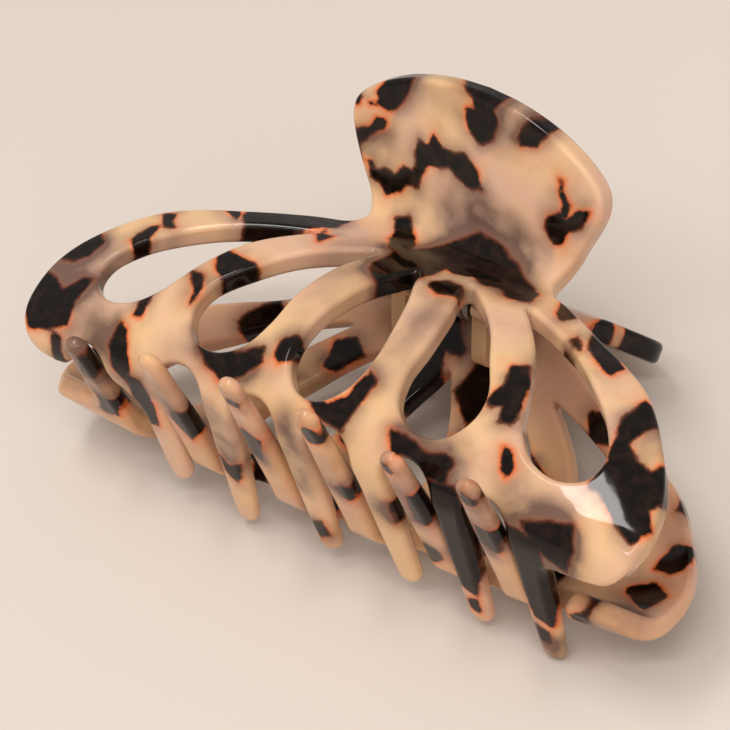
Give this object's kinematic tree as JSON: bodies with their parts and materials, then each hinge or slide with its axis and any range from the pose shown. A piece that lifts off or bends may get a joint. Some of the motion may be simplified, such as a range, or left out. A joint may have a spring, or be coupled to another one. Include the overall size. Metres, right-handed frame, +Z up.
{
  "type": "claw hair clip",
  "caption": "Large claw hair clip: two bent acetate jaws with teardrop cutouts and interlocking teeth, hinged and sprung shut below fan-shaped thumb plates.",
  "frame": {"origin": "middle of the bounding box in x and y, on the surface the closed clip lies on", "axes": "+X along the clip, +Y towards the thumb plates, +Z up through the front jaw, with the rear jaw underneath"},
  "size_m": [0.11, 0.0644, 0.0528],
  "materials": {
    "tortoiseshell_acetate": "high polish, honey ground with near-black flecks fringed in rust and soft grey-mauve clouds",
    "lug_acetate": "polished, plain honey",
    "pin_steel": "drawn wire, ends formed into low heads",
    "spring_steel": "plated spring wire"
  },
  "bodies": {
    "rear": {"rear_jaw": "tortoiseshell_acetate", "rear_lug_outer": "lug_acetate", "rear_lug_inner": "lug_acetate", "hinge_pin": "pin_steel", "torsion_spring": "spring_steel"},
    "front": {"front_jaw": "tortoiseshell_acetate", "front_lug_outer": "lug_acetate", "front_lug_inner": "lug_acetate"}
  },
  "joints": [
    {"name": "jaw_hinge", "type": "hinge", "parent": "rear", "child": "front", "pos_m": [0, 0.0101, 0.02388], "axis": [-1, 0, 0], "range_deg": [0, 55], "stiffness_Nm_per_rad": 0.22, "springref_deg": -34.38, "deforming": ["torsion_spring"]}
  ]
}
